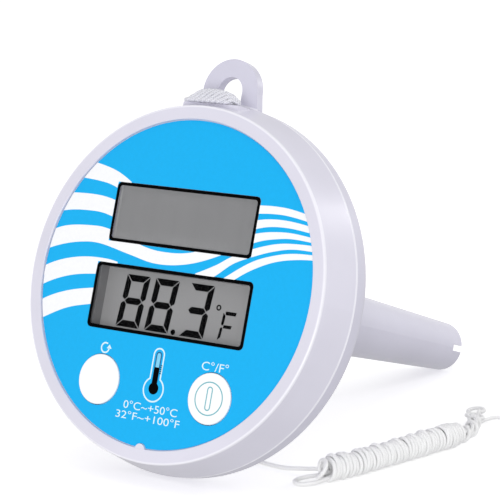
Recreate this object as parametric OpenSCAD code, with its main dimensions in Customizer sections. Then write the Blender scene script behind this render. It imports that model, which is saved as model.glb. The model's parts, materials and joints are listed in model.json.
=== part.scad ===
// Floating pool thermometer: a round float with a solar cell and a display in
// its face, a hollow probe behind it, an eye on top and a tether cord.
//
// Every piece of the thermometer is drawn in the float's own axes: X to the
// right, Y up across the printed face, Z out of it, with the face at Z = 0.
// Depths are distances behind the face. settle() then lays the thermometer on
// its back edge and the probe's tip. The cord is drawn where it lies.

/* [Float] */
// Outer radius of the front rim
rim_r = 54.7; // [53.5:0.1:55]
// Height of the rim above the printed face
rim_lift = 0.8; // [0.5:0.1:1.2]
// Largest radius of the float, where its two shells meet
waist_r = 57.6; // [57.4:0.1:58.5]
// Depth of the joint between the two shells
waist_depth = 12.2; // [12:0.1:12.6]
// Depth of the float's flat back
back_depth = 20.6; // [20.4:0.1:22]
// Rounding of the edge round the back
back_round = 4.5; // [4:0.1:5]
// Wall thickness of the rear shell
wall = 2.2; // [2:0.1:2.3]

/* [Probe] */
// Depth of the probe's open end
probe_depth = 169.1; // [150:0.1:190]
// Radius of the probe where it leaves the float
probe_root_r = 13; // [12.5:0.1:14]
// Radius of the probe at its open end
probe_tip_r = 8.7; // [8.6:0.1:9.5]
// Wall thickness of the probe
probe_wall = 1.8; // [1.6:0.1:1.9]
// Width of the two slots that let water into the open end
slot_w = 2.3; // [1.5:0.1:3.5]
// Length of the two slots
slot_len = 6.9; // [4:0.1:8]

/* [Eye] */
// Width of the eye
eye_w = 20.5; // [18:0.5:22]
// Thickness of the eye
eye_t = 3.1; // [2.5:0.1:3.8]
// Height of the centre of the eye's arch above the float's axis
eye_y = 61.7; // [61:0.1:63]
// Width of the arched hole in the eye
eye_hole_w = 9.2; // [8:0.1:10]

/* [Face] */
// Radius of the printed label
label_r = 50.1; // [49:0.1:50.1]
// Thickness of the printed label
label_t = 0.3; // [0.2:0.05:0.4]
// Thickness of the face plate and its label
face_t = 2.3; // [2.3:0.1:2.6]
// Width of the window over the solar cell
solar_w = 54; // [50:0.5:56]
// Height of the window over the solar cell
solar_h = 18.5; // [16:0.5:19]
// Height of the solar window's centre above the float's axis
solar_y = 19.7; // [19.7:0.1:21]
// Width of the window over the display
lcd_w = 59.1; // [56:0.1:60]
// Height of the window over the display
lcd_h = 20.3; // [18:0.1:21]
// Height of the display window's centre above the float's axis
lcd_y = -6.45; // [-7:0.05:-6]
// Depth of the display glass behind the face
lcd_depth = 5; // [4:0.1:5.2]

/* [Buttons] */
// Radius of the two push buttons
button_r = 7.7; // [7:0.1:8]
// Distance of each button from the centre line
button_x = 21; // [20:0.1:22]
// Height of the buttons' centres above the float's axis
button_y = -32.1; // [-32.5:0.1:-31.8]
// How far a button stands above the face
button_lift = 0.5; // [0.3:0.1:0.8]
// How far a button can be pressed
button_travel = 0.5; // [0.3:0.1:0.6]

/* [Fasteners] */
// Number of screws that hold the two shells together
screw_count = 6; // [3:1:6]
// Radius of the circle that the screws stand on
screw_circle_r = 46.5; // [46:0.1:47]

/* [Hidden] */

$fn = 96;
eps = 0.01;

// Shell details
rim_round = 0.5;
rim_inner_r = 50.4;
edge_r = waist_r - 0.1 - back_round;
edge_depth = back_depth - back_round;
inner_r = edge_r + back_round - wall;
inner_back = back_depth - wall;
tongue_r = inner_r - 0.1;
tongue_t = 2.2;
tongue_depth = waist_depth + 3;
seal_r = 0.55;
seal_depth = waist_depth + 1.5;
key_x = -0.8;
key_r = 1.8;
pad_w = 20.8;
pad_y = 56.2;
pad_depth = 3.8;
corner_r = 1.5;
gap = 0.1;

// Probe details
flange_r = 18;
flange_t = 2;
socket_len = 2.4;
tip_round = 0.8;
bore_r = probe_tip_r - probe_wall;
plug_depth = probe_depth - 19;
plug_len = 10;
cap_r = 3;
cap_t = 0.4;
cap_end = probe_depth - 4;
bead_r = 1.2;
bead_depth = cap_end - 2.6;

// Face details
lens_t = 1.2;
frame_wall = 0.95;
frame_lip = 2.45;
lcd_t = 2.8;
board_depth = 10;
board_t = 1.6;
board_back = board_depth + board_t;
board_r = 45.5;
cell_x = 18;
cell_y = -14;

// Button details
stem_r = 2;
stem_depth = 5.5;
cap_bottom = 1.6;
well_floor = 3.6;
well_t = 1.2;
well_wall = 1.7;
clip_t = 0.5;
switch_w = 6;
switch_depth = 6.5;
plunger_r = 1.75;
plunger_len = 1.9;

// Screw details
boss_r = 4;
boss_joint = 11;
head_seat = 15.6;
pilot_r = 1.25;
board_boss_r = 2.8;
board_pilot_r = 0.9;
BOARD_SCREWS = [[-37, -2], [37, -2], [-8.5, -37.5], [8.5, -37.5]];

// Resting pose: the common tangent of the rounded back edge and the rounded tip
tip_r = probe_tip_r - tip_round;
tip_depth = probe_depth - tip_round;
rest_dr = edge_r - tip_r;
rest_dz = tip_depth - edge_depth;
rest_d = norm([rest_dr, rest_dz]);
lean = atan2(rest_dr, rest_dz) + asin((back_round - tip_round) / rest_d);
axis_h = edge_r * cos(lean) + edge_depth * sin(lean) + back_round;
front_y = -(rim_r - rim_round) * sin(lean) - rim_round;
rear_y = tip_r * sin(lean) + tip_depth * cos(lean) + tip_round;
mid_y = (front_y + rear_y) / 2;

// Tether: a soft braided cord, tied at the eye with a stopper knot
cord_d = 1.3;
knot_w = pad_w;
knot_r = 4.8;
knot_depth = 4.8;
knot_front = 3.2;
knot_back = 4.4;
// Route from inside the knot, through the eye, over the back edge, straight
// down to the ground and across it to the hank
ROUTE = [
    [-2, -47, 112.5], [-2, -44.5, 112], [-2.2, -42, 111.3], [-3, -39.8, 110.6],
    [-5, -37.8, 109.3], [-8, -36.2, 107], [-11.5, -35.4, 103.5],
    [-14.5, -35.2, 98], [-16.5, -35.2, 90], [-17.5, -35.2, 80],
    [-18, -35.2, 68], [-18, -35.2, 56], [-18, -35.2, 44], [-18, -35.2, 32],
    [-18, -35.2, 20], [-17.6, -35.4, 11], [-16, -36, 4.5], [-12, -37.5, 1.3],
    [-6, -40, 0.7], [1, -43.5, 0.7], [9, -47, 0.7], [17, -49.5, 0.7],
    [25, -50.5, 0.8], [32, -50.2, 1.6], [38, -49.5, 2.4], [42, -48.5, 2.9]
];
ROUTE_STEPS = 2;
ROUTE_SIDE = [0.5, 0.85, 0.2];
// Hank: the wrapped bundle, the fold at its near end, the twisted part at its
// far end and the two loose ends of that, each as [from, to, thickness]
HANK = [
    [[43, -55.5], [55.5, 6], 6.6],
    [[43, -55.5], [38.6, -59.8], 2.6],
    [[55.5, 6], [48, 28], 4],
    [[48, 28], [41, 42.5], 2.6],
    [[48, 28], [51.2, 34.8], 2.6]
];

// Wires inside the float
wire_r = 0.55;
wire_x = 0.75;
WIRE_SIDE = [1, 0, 0];
SENSOR_ROUTE = [
    [0, 0, -160.4], [0, 0, -150], [0, 1.5, -130], [0, -1, -105],
    [0, 1.5, -80], [0, 0, -55], [0, -1.5, -35], [0, -4, -24],
    [0, -8, -16.8], [0, -13, -14.2], [0, -17, -14], [0, -20.39, -14]
];
SOLAR_ROUTE = [
    [0, 13, -4.3], [0, 13, -6.5], [0, 12.4, -9], [0, 12, -11],
    [0, 10.6, -12.8], [0, 8, -13.6], [0, 5.8, -13.5], [0, 5, -12.7], [0, 5, -11.61]
];

// ---------------------------------------------------------------- helpers

// Lays a piece of the thermometer down in its resting pose.
module settle()
    translate([0, -mid_y, axis_h])
        rotate([90 - lean, 0, 0])
            children();

// A flat shape given thickness t, with its front face at depth d.
module plate(d, t)
    translate([0, 0, -d - t])
        linear_extrude(height = t)
            children();

module disc(r, d, t)
    translate([0, 0, -d - t])
        cylinder(r = r, h = t);

module round_rect(w, h, r) {
    square([w - 2 * r, h], center = true);
    square([w, h - 2 * r], center = true);
    for (x = [-1, 1], y = [-1, 1])
        translate([x * (w / 2 - r), y * (h / 2 - r)])
            circle(r = r);
}

module ring_seal(r, section_r, d)
    translate([0, 0, -d])
        rotate_extrude()
            translate([r, 0])
                circle(r = section_r, $fn = 32);

module at_button(side)
    translate([side * button_x, button_y, 0])
        children();

module on_screw_circle()
    for (k = [0 : screw_count - 1])
        rotate(90 + k * 360 / screw_count)
            translate([screw_circle_r, 0, 0])
                children();

module on_board_screws()
    for (p = BOARD_SCREWS)
        translate([p.x, p.y, 0])
            children();

// Points of an arc in a [radius, z] outline.
function arc(c, r, a0, a1, n = 12) =
    [for (i = [0 : n]) c + r * [cos(a0 + (a1 - a0) * i / n),
                                sin(a0 + (a1 - a0) * i / n)]];

// A smooth curve through the points p, with n steps between neighbours.
function ghost(p, i) =
    i < 0 ? 2 * p[0] - p[1]
    : i >= len(p) ? 2 * p[len(p) - 1] - p[len(p) - 2]
    : p[i];
function spline_at(a, b, c, d, t) =
    0.5 * (2 * b + (c - a) * t + (2 * a - 5 * b + 4 * c - d) * t * t
           + (3 * b - a - 3 * c + d) * t * t * t);
function spline(p, n) = concat(
    [for (i = [0 : len(p) - 2], k = [0 : n - 1])
        spline_at(ghost(p, i - 1), p[i], p[i + 1], ghost(p, i + 2), k / n)],
    [p[len(p) - 1]]);

function unit(v) = v / norm(v);
function heading(p, i) =
    unit(p[min(i + 1, len(p) - 1)] - p[max(i - 1, 0)]);

// A round cord of radius r along the points p. No stretch of the route may
// run along the direction side.
module cord(p, r, side, sides = 8) {
    rings = [for (i = [0 : len(p) - 1])
        let (t = heading(p, i), u = unit(cross(t, side)), v = cross(t, u))
            for (k = [0 : sides - 1])
                p[i] + r * (cos(360 * k / sides) * u
                            + sin(360 * k / sides) * v)];
    last = (len(p) - 1) * sides;
    walls = [for (i = [0 : len(p) - 2], k = [0 : sides - 1])
        let (a = i * sides + k, b = i * sides + (k + 1) % sides)
            [a, a + sides, b + sides, b]];
    start = [for (k = [0 : sides - 1]) k];
    end = [for (k = [sides - 1 : -1 : 0]) last + k];
    polyhedron(points = rings, faces = concat(walls, [start], [end]));
}

// ----------------------------------------------------------------- shells

module front_profile()
    polygon(concat(
        [[0, -label_t], [rim_inner_r, -label_t]],
        arc([rim_inner_r + 0.3, rim_lift - 0.3], 0.3, 180, 90, 4),
        arc([rim_r - rim_round, rim_lift - rim_round], rim_round, 90, 15, 8),
        [[waist_r, -waist_depth + 0.15], [waist_r - 0.15, -waist_depth],
         [tongue_r, -waist_depth], [tongue_r, -tongue_depth],
         [tongue_r - tongue_t, -tongue_depth],
         [tongue_r - tongue_t, -waist_depth / 2],
         [rim_inner_r + 1.4, -face_t], [0, -face_t]]));

module window_openings() {
    translate([0, solar_y])
        round_rect(solar_w + 2 * gap, solar_h + 2 * gap, corner_r + gap);
    translate([0, lcd_y])
        round_rect(lcd_w + 2 * gap, lcd_h + 2 * gap, corner_r + gap);
}

module button_openings()
    for (side = [-1, 1])
        translate([side * button_x, button_y])
            circle(r = button_r + 2 * gap);

// The flat pad that the knot sits on, in front of the eye.
module knot_pad()
    difference() {
        translate([-pad_w / 2, rim_r - 4, -waist_depth + 0.2])
            cube([pad_w, pad_y - rim_r + 4, waist_depth - pad_depth]);
        cylinder(r = rim_r - 1, h = 100, center = true);
    }

module front_housing() {
    color([0.87, 0.86, 0.9])
    settle()
    difference() {
        union() {
            rotate_extrude($fn = 192) front_profile();
            knot_pad();
            translate([key_x, -rim_inner_r - 0.3, -label_t - 0.5])
                cylinder(r = key_r, h = label_t + 0.5 + rim_lift - 0.1);
            on_screw_circle()
                disc(boss_r, face_t - eps, boss_joint - face_t + eps);
            on_board_screws()
                disc(board_boss_r, face_t - eps, board_depth - face_t + eps);
            for (side = [-1, 1])
                at_button(side)
                    disc(button_r + 2 * gap + well_wall, face_t - eps,
                         well_floor + well_t - face_t + eps);
        }
        plate(-1, face_t + 2) window_openings();
        plate(-1, well_floor + 1) button_openings();
        for (side = [-1, 1])
            at_button(side)
                disc(stem_r + gap, well_floor - 1, well_t + 2);
        on_screw_circle()
            disc(pilot_r, face_t + 2.3, boss_joint - face_t);
        on_board_screws()
            disc(board_pilot_r, face_t + 1.5, board_depth - face_t);
        // Groove for the main seal
        translate([0, 0, -seal_depth - seal_r - 0.05])
            difference() {
                cylinder(r = tongue_r + 1, h = 2 * seal_r + gap, $fn = 192);
                translate([0, 0, -1])
                    cylinder(r = inner_r - 2 * seal_r - 0.05, h = 4);
            }
    }
}

module eye_outline()
    difference() {
        union() {
            translate([0, eye_y]) circle(r = eye_w / 2);
            polygon([[-eye_w / 2, eye_y], [-eye_w / 2 - 1.2, inner_r],
                     [eye_w / 2 + 1.2, inner_r], [eye_w / 2, eye_y]]);
        }
        translate([0, eye_y]) circle(r = eye_hole_w / 2);
        translate([-eye_hole_w / 2, inner_r - 5])
            square([eye_hole_w, eye_y - inner_r + 5]);
    }

module rear_profile()
    polygon(concat(
        [[waist_r - 0.15, -waist_depth], [waist_r, -waist_depth - 0.15]],
        arc([edge_r, -edge_depth], back_round, 0, -90),
        // Fillet up to the socket round the probe
        arc([probe_root_r + gap + 1 + socket_len, -back_depth - socket_len],
            socket_len, 90, 180, 8),
        [[probe_root_r + gap, -back_depth - socket_len],
         [probe_root_r + gap, -inner_back]],
        arc([edge_r, -edge_depth], back_round - wall, -90, 0, 8),
        [[inner_r, -waist_depth]]));

module rear_housing() {
    color([0.85, 0.84, 0.88])
    settle()
    difference() {
        union() {
            rotate_extrude($fn = 192) rear_profile();
            difference() {
                plate(waist_depth, eye_t) eye_outline();
                cylinder(r = waist_r - 1, h = 100, center = true);
            }
            on_screw_circle()
                disc(boss_r, boss_joint, inner_back - boss_joint + eps);
        }
        on_screw_circle() {
            disc(pilot_r + 0.35, boss_joint - 1, head_seat - boss_joint + 2);
            disc(3, head_seat, back_depth);
        }
    }
}

module main_seal() {
    color([0.1, 0.1, 0.1])
    settle()
    ring_seal(inner_r - seal_r, seal_r, seal_depth);
}

module housing_screws() {
    color([0.7, 0.7, 0.72])
    settle()
    on_screw_circle()
    difference() {
        union() {
            disc(2.7, head_seat, 1.7);
            disc(pilot_r, face_t + 2.7, head_seat - face_t - 2.6);
        }
        for (a = [0, 90])
            rotate(a)
                translate([-1.6, -0.35, -head_seat - 2])
                    cube([3.2, 0.7, 1.2]);
    }
}

module screw_plugs() {
    color([0.9, 0.9, 0.92])
    settle()
    on_screw_circle()
    disc(2.95, head_seat + 2.1, back_depth - head_seat - 2.1);
}

// ------------------------------------------------------------------ probe

module probe_profile()
    polygon(concat(
        [[probe_root_r, -inner_back], [probe_root_r, -back_depth - socket_len]],
        arc([tip_r, -tip_depth], tip_round, 0, -90, 6),
        [[bore_r, -probe_depth], [bore_r, -plug_depth],
         [probe_root_r - probe_wall, -back_depth],
         [probe_root_r - probe_wall, -inner_back + flange_t],
         [flange_r, -inner_back + flange_t], [flange_r, -inner_back]]));

module probe_tube() {
    color([0.87, 0.86, 0.9])
    settle()
    difference() {
        rotate_extrude($fn = 128) probe_profile();
        translate([-20, -slot_w / 2, -probe_depth - 1])
            cube([40, slot_w, slot_len + 1]);
    }
}

module sensor_plug() {
    color([0.2, 0.2, 0.22])
    settle()
    difference() {
        disc(bore_r, plug_depth, plug_len);
        disc(cap_r, plug_depth - 1, plug_len + 2);
        translate([0, 0, -plug_depth - 5.6])
            difference() {
                cylinder(r = bore_r + 1, h = 1.2);
                translate([0, 0, -1]) cylinder(r = bore_r - 1.05, h = 4);
            }
    }
}

module plug_seal() {
    color([0.1, 0.1, 0.1])
    settle()
    ring_seal(bore_r - 0.5, 0.5, plug_depth + 5);
}

module sensor_cap() {
    color([0.75, 0.76, 0.78])
    settle()
    rotate_extrude($fn = 64)
        polygon(concat(
            [[cap_r - cap_t, -plug_depth + 1], [cap_r + 1.4, -plug_depth + 1],
             [cap_r + 1.4, -plug_depth], [cap_r, -plug_depth]],
            arc([cap_r - 2, -cap_end + 2], 2, 0, -90, 8),
            [[0, -cap_end], [0, -cap_end + cap_t]],
            arc([cap_r - 2, -cap_end + 2], 2 - cap_t, -90, 0, 8)));
}

module thermistor() {
    color([0.15, 0.15, 0.15])
    settle()
    translate([0, 0, -bead_depth])
        sphere(r = bead_r, $fn = 32);
}

module sensor_leads() {
    color([0.75, 0.1, 0.1])
    settle()
    for (side = [-1, 1])
        translate([side * wire_x, 0, 0])
            cord(spline(SENSOR_ROUTE, 2), wire_r, WIRE_SIDE);
}

// ------------------------------------------------------------------- face

module face_label() {
    color([0.14, 0.72, 0.96])
    settle()
    plate(0, label_t)
        difference() {
            circle(r = label_r, $fn = 192);
            window_openings();
            button_openings();
            translate([key_x, -rim_inner_r - 0.3]) circle(r = key_r + gap);
        }
}

module solar_window() {
    color([0.5, 0.5, 0.5, 0.5])
    settle()
    plate(0, lens_t)
        translate([0, solar_y]) round_rect(solar_w, solar_h, corner_r);
}

module lcd_window() {
    color([0.5, 0.5, 0.5, 0.5])
    settle()
    plate(0, lens_t)
        translate([0, lcd_y]) round_rect(lcd_w, lcd_h, corner_r);
}

module solar_cell() {
    color([0.35, 0.35, 0.37])
    settle()
    plate(lens_t, face_t - lens_t)
        translate([0, solar_y])
            square([solar_w - 1, solar_h - 1], center = true);
}

module cell_carrier() {
    color([0.8, 0.8, 0.82])
    settle()
    difference() {
        plate(face_t, 2)
            translate([0, solar_y + 0.4]) round_rect(60, 23.2, 2);
        for (side = [-1, 1])
            translate([side * wire_x * 2, SOLAR_ROUTE[0].y, -face_t - 2.6])
                cylinder(r = wire_r, h = 1.4, $fn = 32);
    }
}

module solar_leads() {
    color([0.1, 0.1, 0.1])
    settle()
    for (side = [-1, 1])
        translate([side * wire_x * 2, 0, 0])
            cord(spline(SOLAR_ROUTE, 2), wire_r - 0.05, WIRE_SIDE);
}

module display_frame() {
    color([0.3, 0.3, 0.31])
    settle()
    translate([0, lcd_y, 0])
    difference() {
        union() {
            plate(lens_t, face_t)
                round_rect(lcd_w, lcd_h, corner_r);
            plate(face_t, board_depth - face_t)
                round_rect(lcd_w + 2 * frame_lip, lcd_h + 2 * frame_lip - 1, 1);
        }
        plate(lens_t - 1, lcd_depth)
            square([lcd_w - 2 * frame_wall, lcd_h - 2 * frame_wall],
                   center = true);
        plate(lcd_depth, board_depth)
            square([lcd_w + 0.3, lcd_h + 0.5], center = true);
    }
}

module lcd_panel() {
    color([0.55, 0.56, 0.54])
    settle()
    plate(lcd_depth, lcd_t)
        translate([0, lcd_y]) square([lcd_w, lcd_h + 0.3], center = true);
}

module contact_strips() {
    color([0.85, 0.6, 0.65])
    settle()
    for (side = [-1, 1])
        plate(lcd_depth + lcd_t, board_depth - lcd_depth - lcd_t)
            translate([0, lcd_y + side * (lcd_h / 2 - 1.5)])
                square([lcd_w - 4, 2.4], center = true);
}

// ---------------------------------------------------------------- buttons

module push_button(side)
    at_button(side)
        rotate_extrude()
            polygon(concat(
                [[0, button_lift]],
                arc([button_r - 0.4, button_lift - 0.4], 0.4, 90, 0, 6),
                [[button_r, -cap_bottom], [stem_r, -cap_bottom],
                 [stem_r, -stem_depth], [0, -stem_depth]]));

module push_clip(side)
    at_button(side)
        difference() {
            disc(stem_r + 1.6, well_floor + well_t + 0.05, clip_t);
            disc(stem_r, well_floor, 4);
        }

module plunger(side)
    at_button(side)
        disc(plunger_r, stem_depth, plunger_len);

module tact_switch(side)
    at_button(side)
        difference() {
            plate(switch_depth, board_depth - switch_depth)
                square(switch_w, center = true);
            disc(plunger_r + 0.05, switch_depth - 1,
                 plunger_len + button_travel + 0.4);
        }

module reset_button() {
    color([0.96, 0.96, 0.96])
    settle() push_button(-1);
}

module unit_button() {
    color([0.96, 0.96, 0.96])
    settle() push_button(1);
}

module reset_clip() {
    color([0.7, 0.7, 0.72])
    settle() push_clip(-1);
}

module unit_clip() {
    color([0.7, 0.7, 0.72])
    settle() push_clip(1);
}

module reset_plunger() {
    color([0.15, 0.15, 0.15])
    settle() plunger(-1);
}

module unit_plunger() {
    color([0.15, 0.15, 0.15])
    settle() plunger(1);
}

module reset_switch() {
    color([0.2, 0.2, 0.2])
    settle() tact_switch(-1);
}

module unit_switch() {
    color([0.2, 0.2, 0.2])
    settle() tact_switch(1);
}

module button_seals() {
    color([0.8, 0.3, 0.2])
    settle()
    for (side = [-1, 1])
        at_button(side)
            ring_seal(stem_r + 0.05 + seal_r, seal_r, well_floor - seal_r);
}

// ------------------------------------------------------------ electronics

module circuit_board() {
    color([0.1, 0.4, 0.2])
    settle()
    plate(board_depth, board_t)
        difference() {
            intersection() {
                circle(r = board_r);
                translate([-board_r, -40.8]) square([2 * board_r, 48.3]);
            }
            on_screw_circle() circle(r = boss_r + 0.5);
            on_board_screws() circle(r = 1.1);
        }
}

module board_screws() {
    color([0.7, 0.7, 0.72])
    settle()
    on_board_screws() {
        disc(board_pilot_r, face_t + 2, board_back - face_t - 1.9);
        disc(1.9, board_back, 1.2);
    }
}

module controller_chip() {
    color([0.08, 0.08, 0.08])
    settle()
    translate([-16, -13, -board_back])
        rotate([180, 0, 0])
            rotate_extrude()
                intersection() {
                    translate([0, -12]) circle(r = 14);
                    square([8, 3]);
                }
}

module clock_crystal() {
    color([0.75, 0.75, 0.77])
    settle()
    translate([-31, -24, -board_back - 1])
        rotate([0, 90, 0])
            cylinder(r = 1, h = 6, $fn = 48);
}

module chip_resistors() {
    color([0.12, 0.12, 0.13])
    settle()
    for (k = [0 : 5])
        plate(board_back, 0.6)
            translate([-8 + 3.2 * k, -1.5]) square([1.3, 2.1], center = true);
}

module storage_cell() {
    color([0.72, 0.72, 0.74])
    settle()
    translate([cell_x, cell_y, 0])
        rotate_extrude($fn = 128)
            polygon(concat(
                [[0, -board_back - 0.4], [9.2, -board_back - 0.4],
                 [10, -board_back - 1]],
                arc([9.5, -board_back - 3.3], 0.5, 0, -90, 4),
                [[0, -board_back - 3.8]]));
}

module cell_tabs() {
    color([0.8, 0.8, 0.78])
    settle()
    translate([cell_x, cell_y, 0]) {
        plate(board_back, 0.4)
            translate([-2, 0]) square([18, 4], center = true);
        plate(board_back + 3.8, 0.3)
            translate([3.6, 0]) square([15.6, 4], center = true);
        plate(board_back, 4.1)
            translate([11.2, 0]) square([0.4, 4], center = true);
    }
}

module lead_socket() {
    color([0.92, 0.9, 0.82])
    settle()
    translate([0, -24, 0])
        difference() {
            plate(board_back, 5)
                square([7, 7.2], center = true);
            translate([-2.6, -1.5, -board_back - 5.6])
                cube([5.2, 2.2, 4]);
        }
}

// ----------------------------------------------------------------- tether

// Side view of the space for the knot: it sits on the pad, and behind the pad
// its underside follows the flared side wall.
module knot_space() {
    seat = pad_y + gap;
    top = seat + 2 * knot_r;
    front = knot_depth - knot_front;
    back = knot_depth + knot_back;
    flare = (waist_r - rim_r) / waist_depth;
    foot_r = rim_r + 2 * gap;
    polygon([[seat, -front], [top, -front], [top, -back],
             [foot_r + flare * back, -back], [seat, -(seat - foot_r) / flare]]);
}

module tether_knot() {
    color([0.95, 0.95, 0.95])
    settle()
    intersection() {
        translate([0, pad_y, -knot_depth])
            rotate([0, 90, 0])
                rotate_extrude($fn = 64)
                    polygon([for (a = [-90 : 7.5 : 90])
                        [knot_r * cos(a), knot_w / 2 * sin(a)]]);
        rotate([90, 0, 90])
            linear_extrude(height = 2 * knot_w, center = true)
                knot_space();
    }
}

module tether_run() {
    color([0.95, 0.95, 0.95])
    cord(spline(ROUTE, ROUTE_STEPS), cord_d / 2, ROUTE_SIDE);
}

// A flat bar of thickness t with round ends, from p to q.
module bar(p, q, t) {
    way = atan2(q.y - p.y, q.x - p.x);
    linear_extrude(height = t)
        polygon([
            for (a = [90 : 15 : 270]) p + t / 2 * [cos(way + a), sin(way + a)],
            for (a = [-90 : 15 : 90]) q + t / 2 * [cos(way + a), sin(way + a)]
        ]);
}

module tether_hank() {
    color([0.95, 0.95, 0.95])
    for (b = HANK)
        bar(b[0], b[1], b[2]);
}

front_housing();
rear_housing();
probe_tube();
main_seal();
housing_screws();
screw_plugs();
face_label();
solar_window();
lcd_window();
solar_cell();
cell_carrier();
solar_leads();
display_frame();
lcd_panel();
contact_strips();
circuit_board();
controller_chip();
clock_crystal();
chip_resistors();
storage_cell();
cell_tabs();
board_screws();
reset_switch();
unit_switch();
reset_plunger();
unit_plunger();
reset_button();
unit_button();
reset_clip();
unit_clip();
button_seals();
lead_socket();
sensor_leads();
thermistor();
sensor_cap();
sensor_plug();
plug_seal();
tether_knot();
tether_run();
tether_hank();
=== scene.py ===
"""Looks of the floating pool thermometer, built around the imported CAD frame.

The printed face, the display and the buttons are laid out in the float's own
axes, in millimetres: x to the right, y up across the face, z out of it, with the
face at z = 0. FACE takes them to the frame's metres.
"""
import json
import math

import bpy
import numpy as np
from mathutils import Matrix, Vector


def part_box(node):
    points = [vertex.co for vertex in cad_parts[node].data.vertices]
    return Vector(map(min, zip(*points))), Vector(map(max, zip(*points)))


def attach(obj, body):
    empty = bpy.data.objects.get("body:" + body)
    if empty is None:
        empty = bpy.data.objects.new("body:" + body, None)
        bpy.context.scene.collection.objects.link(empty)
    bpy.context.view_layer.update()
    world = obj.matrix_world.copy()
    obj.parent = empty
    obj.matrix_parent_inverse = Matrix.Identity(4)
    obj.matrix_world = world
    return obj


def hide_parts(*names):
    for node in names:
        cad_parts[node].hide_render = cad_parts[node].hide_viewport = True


MM = 0.001

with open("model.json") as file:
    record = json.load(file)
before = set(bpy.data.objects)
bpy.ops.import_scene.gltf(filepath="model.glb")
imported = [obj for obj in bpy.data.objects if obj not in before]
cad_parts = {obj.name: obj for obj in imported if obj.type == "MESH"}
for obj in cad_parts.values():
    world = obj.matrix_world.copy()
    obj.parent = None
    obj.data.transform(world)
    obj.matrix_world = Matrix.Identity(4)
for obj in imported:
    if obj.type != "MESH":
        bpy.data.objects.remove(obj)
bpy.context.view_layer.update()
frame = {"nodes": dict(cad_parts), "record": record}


# ------------------------------------------------------------------ the frame

def face_matrix():
    """The float's own axes, in millimetres, as a matrix to the frame's metres. The
    rim_face mount is on the rim's front, to the right of the float's middle."""
    rim_mount_x, rim_lift = 52, 0.8
    mount = next(m for m in frame["record"]["mounts"] if m["name"] == "rim_face")
    out = Vector(mount["axis"]).normalized()
    right = Vector((1, 0, 0))
    up = out.cross(right)
    origin = Vector(mount["pos_m"]) - (rim_mount_x * right + rim_lift * out) * MM
    axes = Matrix((right, up, out)).transposed().to_4x4()
    return Matrix.Translation(origin) @ axes @ Matrix.Scale(MM, 4)


FACE = face_matrix()
GROUND = Matrix.Scale(MM, 4)


# ------------------------------------------------------------------- the view

def make_camera():
    """The view of the photograph: from the front right and a little above."""
    lens_mm, azimuth, elevation, roll = 150.7, 35.573, 10.974, -0.417
    spot = (0.37806, -0.56122, 0.18962)
    data = bpy.data.cameras.new("camera")
    data.lens = lens_mm
    data.clip_start, data.clip_end = 0.05, 20
    camera = bpy.data.objects.new("camera", data)
    turn = (Matrix.Rotation(math.radians(azimuth), 4, "Z")
            @ Matrix.Rotation(math.radians(90 - elevation), 4, "X")
            @ Matrix.Rotation(math.radians(roll), 4, "Z"))
    camera.matrix_world = Matrix.Translation(spot) @ turn
    bpy.context.scene.collection.objects.link(camera)
    bpy.context.scene.camera = camera


make_camera()


# ------------------------------------------------------------- node materials

def srgb(r, g, b):
    """A colour from its 0 to 255 values, as the shader's linear one."""
    def linear(c):
        c = c / 255
        return c / 12.92 if c <= 0.04045 else ((c + 0.055) / 1.055) ** 2.4
    return (linear(r), linear(g), linear(b), 1)


class Nodes:
    """A new node material with its Principled shader, and short ways to add to it."""

    def __init__(self, name):
        self.material = bpy.data.materials.new(name)
        self.material.use_nodes = True
        self.tree = self.material.node_tree
        self.shader = self.tree.nodes["Principled BSDF"]
        self.place = self.add("ShaderNodeTexCoord").outputs["Object"]

    def add(self, kind, **settings):
        node = self.tree.nodes.new(kind)
        for key, value in settings.items():
            setattr(node, key, value)
        return node

    def link(self, a, b):
        self.tree.links.new(a, b)

    def noise(self, scale, detail=3, place=None):
        """Soft noise, in object space unless another place is given."""
        node = self.add("ShaderNodeTexNoise")
        node.inputs["Scale"].default_value = scale
        node.inputs["Detail"].default_value = detail
        self.link(place or self.place, node.inputs["Vector"])
        return node.outputs["Fac"]

    def ramp(self, value, low, high, start=0.35, end=0.65):
        """The value as a colour between low and high."""
        node = self.add("ShaderNodeValToRGB")
        node.color_ramp.elements[0].position = start
        node.color_ramp.elements[0].color = low
        node.color_ramp.elements[1].position = end
        node.color_ramp.elements[1].color = high
        self.link(value, node.inputs["Fac"])
        return node.outputs["Color"]

    def span(self, value, low, high):
        """The value from 0 to 1 as a number from low to high."""
        node = self.add("ShaderNodeMapRange")
        node.inputs["To Min"].default_value = low
        node.inputs["To Max"].default_value = high
        self.link(value, node.inputs["Value"])
        return node.outputs["Result"]

    def combine(self, a, b, operation="ADD"):
        """A value and a second value or number, put together by a Math node."""
        node = self.add("ShaderNodeMath", operation=operation)
        self.link(a, node.inputs[0])
        if isinstance(b, (int, float)):
            node.inputs[1].default_value = b
        else:
            self.link(b, node.inputs[1])
        return node.outputs["Value"]

    def bump(self, height, depth_mm):
        """Relief of that depth, from a height of 0 to 1."""
        node = self.add("ShaderNodeBump")
        node.inputs["Distance"].default_value = depth_mm * MM
        node.inputs["Strength"].default_value = 1.0
        self.link(height, node.inputs["Height"])
        self.link(node.outputs["Normal"], self.shader.inputs["Normal"])

    def set(self, **values):
        """Set the shader's own inputs, with _ for each space in a name."""
        for key, value in values.items():
            self.shader.inputs[key.replace("_", " ")].default_value = value
        return self


def shaded(colour, factor):
    """The colour made darker or lighter by a factor."""
    return tuple(min(1, c * factor) for c in colour[:3]) + (1,)


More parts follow.
